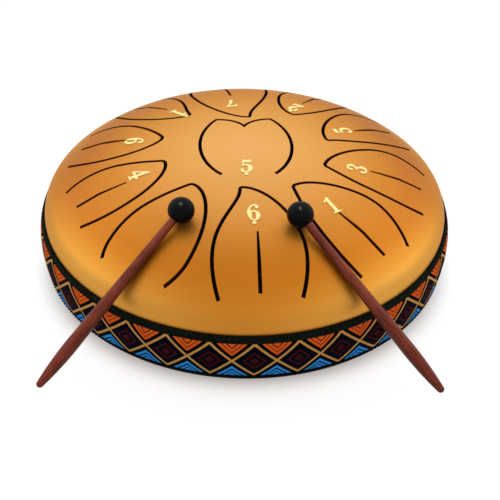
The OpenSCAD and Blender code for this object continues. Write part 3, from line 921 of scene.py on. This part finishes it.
notes = {
    "digitHeight": 0.0122,
    "raised": 0.00035,          # how far a digit stands out of the sheet, and how far it is sunk into it
    "sunk": 0.0002,
    # in tenths of the height
    "middle": (3.2, 5),         # the digits' middle, which their places refer to
    "dotRadius": 0.95,
    "dotGap": 1.1,
    "bevel": 0.1,
    "thinner": 0.06,            # how much the outlines are drawn in
    "bevelSteps": 2,
    "curveSteps": 6,
    # digit, its dot (1 above, -1 below, 0 none), radius, azimuth from +X and how far it is turned askew
    "places": [
        ("5", -1, 0.0221, -89, 0),
        ("6", -1, 0.0615, -85.7, 0),
        ("1", 0, 0.0700, -47.2, -10),
        ("3", 0, 0.0670, -13.0, 0),
        ("5", 0, 0.0665, 24.8, 0),
        ("2", 1, 0.0640, 60.3, 0),
        ("7", 0, 0.0590, 100, 0),
        ("1", 1, 0.0630, 133.9, 0),
        ("6", 0, 0.0696, 170, 0),
        ("4", 0, 0.0666, 202.1, 0),
        ("2", 0, 0.0680, 240.5, 0),
    ],
    # outlines in tenths of the height; a point marked "v" turns a corner, the others run on smoothly
    "outlines": {
        "1": [[(3.3, 10, "v"), (4.3, 10, "v"), (4.3, 0.9, "v"), (5.6, 0.5, "v"), (5.6, 0, "v"),
               (1.3, 0, "v"), (1.3, 0.5, "v"), (2.6, 0.9, "v"), (2.6, 8.1, "v"), (1, 7.5, "v"),
               (0.8, 8.1, "v"), (2.2, 9)]],
        "2": [[(0.2, 0, "v"), (6, 0, "v"), (6.4, 2.8, "v"), (5.8, 2.8, "v"), (5, 1.7), (2.5, 1.6, "v"),
               (4.8, 4.2), (6, 7.2), (3.3, 10), (0.7, 8.3), (0.6, 6.8), (1.5, 6.2), (2.3, 7.1), (2, 8.4),
               (3, 9.2), (4.1, 7.3), (2.8, 4.1), (0.2, 0.9, "v")]],
        "3": [[(0.7, 7.4), (1.2, 9.3), (3.2, 10), (5.6, 7.9), (4.3, 5.5), (6.1, 2.8), (3.1, 0),
               (0.6, 1.4), (0.9, 2.9), (2, 2.6), (2.2, 1.2), (3.1, 0.8), (4.2, 2.8), (2.9, 4.8),
               (2.1, 4.9, "v"), (2.1, 5.6, "v"), (2.9, 5.7), (3.8, 7.6), (3, 9.2), (2.2, 8.8), (2, 7.4),
               (1.2, 6.7)]],
        "4": [[(3.9, 10, "v"), (4.9, 10, "v"), (4.9, 3.9, "v"), (6.4, 3.9, "v"), (6.4, 2.7, "v"),
               (4.9, 2.7, "v"), (4.9, 0.8, "v"), (5.8, 0.5, "v"), (5.8, 0, "v"), (2.4, 0, "v"),
               (2.4, 0.5, "v"), (3.3, 0.8, "v"), (3.3, 2.7, "v"), (0.1, 2.7, "v"), (0.1, 3.7, "v")],
              [(3.3, 3.9, "v"), (1.3, 3.9, "v"), (3.3, 7.5, "v")]],
        "5": [[(1.4, 10, "v"), (3.2, 9.7), (5.3, 10, "v"), (5.3, 8.4), (3.6, 7.9), (2, 8.2, "v"),
               (1.9, 6.2, "v"), (3.5, 6.6), (6.1, 3.5), (2.9, 0), (0.6, 1.3), (0.8, 2.7), (1.9, 2.6),
               (2.1, 1.2), (2.9, 0.8), (4.2, 3.3), (2.9, 5.6), (1.3, 4.9, "v")]],
        "6": [[(3.6, 10), (5.4, 9.2), (5.5, 7.9), (4.5, 7.4), (4, 8.8), (3.3, 9.1), (2.2, 6), (3.7, 6.3),
               (6.1, 3.2), (3.3, 0), (0.4, 4.2), (1.4, 8.3)],
              [(3.2, 5.4), (2.3, 3.2), (3.2, 0.8), (4.2, 3.1)]],
        "7": [[(0.5, 10, "v"), (1.1, 9.6), (6.2, 9.6, "v"), (6.2, 8.9, "v"), (4.1, 4.6), (3.7, 0, "v"),
               (1.8, 0, "v"), (2.7, 4.3), (4.9, 8.1, "v"), (1.9, 8.1), (1, 6.9, "v"), (0.5, 6.9, "v")]],
    },
}


def digitMesh(outlines):
    # the filled and bevelled outlines as a mesh
    curve = bpy.data.curves.new("digit", "CURVE")
    curve.dimensions = "2D"
    curve.fill_mode = "BOTH"
    curve.extrude = (notes["raised"] + notes["sunk"]) / 2 * 10 / notes["digitHeight"]
    curve.bevel_depth = notes["bevel"]
    curve.bevel_resolution = notes["bevelSteps"]
    curve.offset = -notes["thinner"]
    curve.resolution_u = notes["curveSteps"]
    for outline in outlines:
        spline = curve.splines.new("BEZIER")
        spline.bezier_points.add(len(outline) - 1)
        spline.use_cyclic_u = True
        for point, (x, y, *mark) in zip(spline.bezier_points, outline):
            point.co = (x, y, 0)
            handle = "VECTOR" if mark else "AUTO"
            point.handle_left_type = handle
            point.handle_right_type = handle
    carrier = addObject("digit", curve)
    mesh = bakedMesh(carrier)
    bpy.data.objects.remove(carrier)
    return mesh


def dotOutline(x, y):
    r = notes["dotRadius"]
    return [(x + r, y), (x, y + r), (x - r, y), (x, y - r)]


def noteNumbers(finish):
    # every digit is laid on the dome, its foot towards the rim
    corners = []
    faces = []
    scale = notes["digitHeight"] / 10
    middleX, middleY = notes["middle"]
    for digit, dot, radius, azimuth, turn in notes["places"]:
        outlines = [list(outline) for outline in notes["outlines"][digit]]
        if dot:
            outlines.append(dotOutline(middleX, 10 + notes["dotGap"] if dot > 0 else -notes["dotGap"]))
        mesh = digitMesh(outlines)
        out = Vector((math.cos(math.radians(azimuth)), math.sin(math.radians(azimuth))))
        middle = out * radius
        up = Matrix.Rotation(math.radians(turn), 2) @ -out
        right = Vector((up.y, -up.x))
        first = len(corners)
        for vertex in mesh.vertices:
            plan = middle + right * (vertex.co.x - middleX) * scale + up * (vertex.co.y - middleY) * scale
            reach = plan.length
            height, lean = domePoint(reach)
            # the lower half of the digit's thickness is sunk into the sheet
            proud = vertex.co.z * scale + (notes["raised"] - notes["sunk"]) / 2
            side = plan / reach * (reach + proud * math.sin(lean))
            corners.append((side.x, side.y, height + proud * math.cos(lean)))
        faces.extend([tuple(first + corner for corner in polygon.vertices) for polygon in mesh.polygons])
    whole = bpy.data.meshes.new("note_numbers")
    whole.from_pydata(corners, [], faces)
    whole.materials.append(finish.material)
    return addObject("note_numbers", whole)


paleGold = {
    "dark": screenColour(250, 226, 130),
    "light": screenColour(255, 244, 176),
    "scale": 700,               # of the worn spots
    "detail": 3,
    "roughness": 0.38,
    "bump": 0.00003,
    "fixed": {"Metallic": 0.25},
}

print("note numbers")
numbers = noteNumbers(plainFinish("pale gold foil", paleGold))
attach(numbers, "drum")


wood = {
    "dark": screenColour(78, 26, 14),
    "light": screenColour(120, 50, 30),
    "pore": screenColour(46, 14, 8),
    "grainAcross": 1900,
    "grainAlong": 90,
    "grainDetail": 5,
    "grainRoughness": 0.6,
    "poreScale": 2.4,           # on the stretched grain
    "cloudScale": 60,
    "cloudShare": 0.25,         # how much of the tone the clouds make; the grain makes the rest
    "tone": (0.36, 0.66),
    "pores": (0.60, 0.68),
    "poreShade": 0.7,
    "roughness": 0.3,
    "poreRoughness": 0.2,
    "gloss": 0.14,
    "poreBump": 0.6,
    "bump": 0.0001,
    "bumpStrength": 0.4,
}


def handleAxis(side):
    # the ball's middle and the direction of its handle
    low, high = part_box(side + "_mallet_head")
    ball = (Vector(low) + Vector(high)) / 2
    vertices = [vertex.co for vertex in nodes[side + "_mallet_handle"].data.vertices]
    far = max(vertices, key=lambda spot: (spot - ball).length)
    return ball, (far - ball).normalized()


def woodFinish(side):
    ball, axis = handleAxis(side)
    timber = Finish(side + " handle wood")
    turn = axis.to_track_quat("Z", "Y").inverted().to_matrix()
    shift = turn @ ball * -1
    laid = timber.add("ShaderNodeMapping", {"vector_type": "POINT"},
                      {"Vector": timber.place, "Location": shift, "Rotation": turn.to_euler()})
    stretched = timber.add("ShaderNodeVectorMath", {"operation": "MULTIPLY"},
                           {0: laid, 1: (wood["grainAcross"], wood["grainAcross"], wood["grainAlong"])})
    grain = timber.noise(1, wood["grainDetail"], stretched, wood["grainRoughness"])
    pores = timber.noise(wood["poreScale"], 2, stretched)
    cloud = timber.noise(wood["cloudScale"], 2)
    mixed = grain * (1 - wood["cloudShare"]) + cloud * wood["cloudShare"]
    pits = timber.rise(pores, *wood["pores"])
    colour = timber.blend(timber.rise(mixed, *wood["tone"]), wood["dark"], wood["light"])
    colour = timber.blend(pits * wood["poreShade"], colour, wood["pore"])
    timber.shader({
        "Base Color": colour,
        "Roughness": wood["roughness"] + wood["poreRoughness"] * pits,
        "Specular IOR Level": wood["gloss"],
        "Normal": timber.bump(grain - pits * wood["poreBump"], wood["bump"], wood["bumpStrength"]),
    })
    return timber


rubberBall = {
    "dark": screenColour(4, 4, 5),
    "light": screenColour(12, 12, 14),
    "scale": 120,               # of the pale bloom
    "detail": 3,
    "roughness": 0.24,
    "wander": 0.1,              # how much rougher the bloom is
    "grainScale": 1600,
    "bump": 0.00004,
    "bumpStrength": 0.5,
    "fixed": {"Specular IOR Level": 0.04},
}

print("mallets")
for side in ("left", "right"):
    paint(woodFinish(side), side + "_mallet_handle")
paint(plainFinish("ball rubber", rubberBall), "left_mallet_head", "right_mallet_head")


foot = {
    "dark": screenColour(26, 26, 27),       # the rubber
    "light": screenColour(58, 56, 54),      # dust on it
    "scale": 160,               # of the dusty spots
    "detail": 4,
    "ends": (0.5, 0.75),
    "roughness": 0.65,
    "wander": 0.2,              # how much rougher the dust is
    "grainScale": 2200,
    "bump": 0.00008,
}

print("feet")
footRubber = plainFinish("foot rubber", foot)
paint(footRubber, "foot_front_left", "foot_front_right", "foot_back_left", "foot_back_right")


plating = {
    "dark": screenColour(168, 170, 174),
    "light": screenColour(206, 206, 204),
    "scale": 240,               # of the zinc's spangles
    "detail": 3,
    "roughness": 0.28,
    "wander": 0.18,             # how much rougher some spangles are
    "bump": 0.00002,
    "fixed": {"Metallic": 1},
}

print("screws, washers and nuts")
paint(plainFinish("zinc plate", plating), "foot_screws", "foot_washers", "foot_nuts")


photoView = {
    "elevation": math.radians(35.2),
    "distance": 0.50084,
    "lens": 57.43,
    "sensor": 36,
    "clip": (0.01, 50),
    "roll": math.radians(1.295),
    "aim": (0.00323, -0.05405, 0.038),
    "over": (0, 0, 0.038),          # the point on the drum's axis that the distance is taken from
}
studio = {
    "floorHeight": -0.0081,
    "floorReach": 6,
    "floorPale": (0.72, 0.8, 0.88, 1),      # the card as it lights the drum
    "floorGrey": (0.3, 0.3, 0.3, 1),        # the card as the camera and reflections see it, beneath its glow
    "floorShadeUnderDrum": (0.02, 0.02, 0.02, 1),     # painted shade under the drum
    "shadeUnderDrumEdge": (0.05, 0.08),               # radii between which the painted shade under the drum ends
    # glow of the card at distances from the axis in metres, so that it shows white; it dims towards the drum,
    # a painted shadow round its foot
    "glow": [
        (0.09, (0, 0, 0, 1)),
        (0.1115, (0.34, 0.34, 0.34, 1)),
        (0.1135, (0.5, 0.5, 0.5, 1)),
        (0.117, (0.66, 0.66, 0.66, 1)),
        (0.121, (0.78, 0.78, 0.78, 1)),
        (0.126, (0.83, 0.83, 0.83, 1)),
        (0.14, (0.8, 0.8, 0.8, 1)),
    ],
    "squash": 0.9,              # the glow starts farther out at the sides than in front, so the painted shadow is wider there
    "worldLevel": 0.35,         # strength of the white room as a light
    # name, place, width and height in metres, power in watts, whether gloss shows it,
    # and the only nodes it shines on, where it doesn't shine on all
    "lamps": [
        ("top light", (0, 0, 1.3), 1.5, 1.5, 8, False),
        ("back light", (0, 1.1, 0.85), 2.6, 0.9, 2, True),
        ("left light", (-1.0, 0.25, 0.8), 1.3, 1.1, 3.5, True),
        ("right light", (1.0, 0.25, 0.8), 1.3, 1.1, 3.5, True),
        ("ball light", (-0.05, 0, 1.2), 0.5, 0.12, 20, True, ("left_mallet_head", "right_mallet_head")),
        ("handle light", (0, 0.1, 1.2), 0.4, 0.12, 9, True, ("left_mallet_handle", "right_mallet_handle")),
    ],
}


def photoCamera():
    data = bpy.data.cameras.new("camera")
    data.lens = photoView["lens"]
    data.sensor_width = photoView["sensor"]
    data.clip_start, data.clip_end = photoView["clip"]
    camera = addObject("camera", data)
    tilt = photoView["elevation"]
    eye = Vector(photoView["over"]) + Vector((0, -math.cos(tilt), math.sin(tilt))) * photoView["distance"]
    ahead = (Vector(photoView["aim"]) - eye).normalized()
    right = ahead.cross(Vector((0, 0, 1))).normalized()
    up = right.cross(ahead)
    roll = photoView["roll"]
    right, up = right * math.cos(roll) + up * math.sin(roll), up * math.cos(roll) - right * math.sin(roll)
    place = Matrix((right, up, -ahead)).transposed().to_4x4()
    place.translation = eye
    camera.matrix_world = place
    bpy.context.scene.camera = camera


def softLamp(name, place, width, height, power, gloss, only=()):
    data = bpy.data.lights.new(name, "AREA")
    data.shape = "ELLIPSE"
    data.size = width
    data.size_y = height
    data.energy = power
    lamp = addObject(name, data)
    lamp.location = place
    lamp.rotation_mode = "QUATERNION"
    lamp.rotation_quaternion = (Vector(photoView["over"]) - Vector(place)).to_track_quat("-Z", "Y")
    lamp.visible_glossy = gloss
    if only:
        lit = bpy.data.collections.new(name + " shines on")
        for node in only:
            lit.objects.link(nodes[node])
        lamp.light_linking.receiver_collection = lit


def seenRays(graph):
    # 1 for what is seen, straight, mirrored or through something, and 0 for light that falls on things
    rays = graph.add("ShaderNodeLightPath", output="Is Camera Ray")
    return rays.most(rays.other("Is Glossy Ray")).most(rays.other("Is Transmission Ray"))


def floorFinish():
    card = Finish("white card")
    x, y = card.split(card.place)[:2]
    reach = (x * x + y * y) ** 0.5
    seen = seenRays(card)
    # under the drum the card is painted dark, a painted shade that shows through the port and the cuts, and
    # has no glow
    clear = card.rise(reach, *studio["shadeUnderDrumEdge"])
    across = x * studio["squash"]
    # the glow dims towards the drum: a painted shadow round it
    glow = card.add("ShaderNodeValToRGB", {"stops": studio["glow"]}, {0: (across * across + y * y) ** 0.5})
    tone = card.blend(seen, studio["floorPale"], studio["floorGrey"])
    shade = card.add("ShaderNodeBsdfDiffuse", None, {"Color": card.blend(clear, studio["floorShadeUnderDrum"], tone)})
    light = card.add("ShaderNodeEmission", None, {"Color": glow, "Strength": seen})
    both = card.add("ShaderNodeAddShader", None, {0: shade, 1: light})
    card.put(card.tree.nodes["Material Output"].inputs["Surface"], both)
    return card


def whiteRoom():
    world = bpy.data.worlds.new("room")
    bpy.context.scene.world = world
    world.use_nodes = True
    room = Graph(world.node_tree)
    seen = seenRays(room)
    background = world.node_tree.nodes["Background"]
    room.put(background.inputs["Color"], (1, 1, 1, 1))
    room.put(background.inputs["Strength"], seen + (1 - seen) * studio["worldLevel"])


print("camera, floor and light")
photoCamera()
floorMesh = bpy.data.meshes.new("floor")
reach = studio["floorReach"]
cornerSigns = [(-1, -1), (1, -1), (1, 1), (-1, 1)]
floorCorners = [(reach * x, reach * y, studio["floorHeight"]) for x, y in cornerSigns]
floorMesh.from_pydata(floorCorners, [], [(0, 1, 2, 3)])
floorMesh.materials.append(floorFinish().material)
floor = addObject("floor", floorMesh)
whiteRoom()
for lamp in studio["lamps"]:
    softLamp(*lamp)

bpy.context.scene.view_settings.view_transform = "Standard"
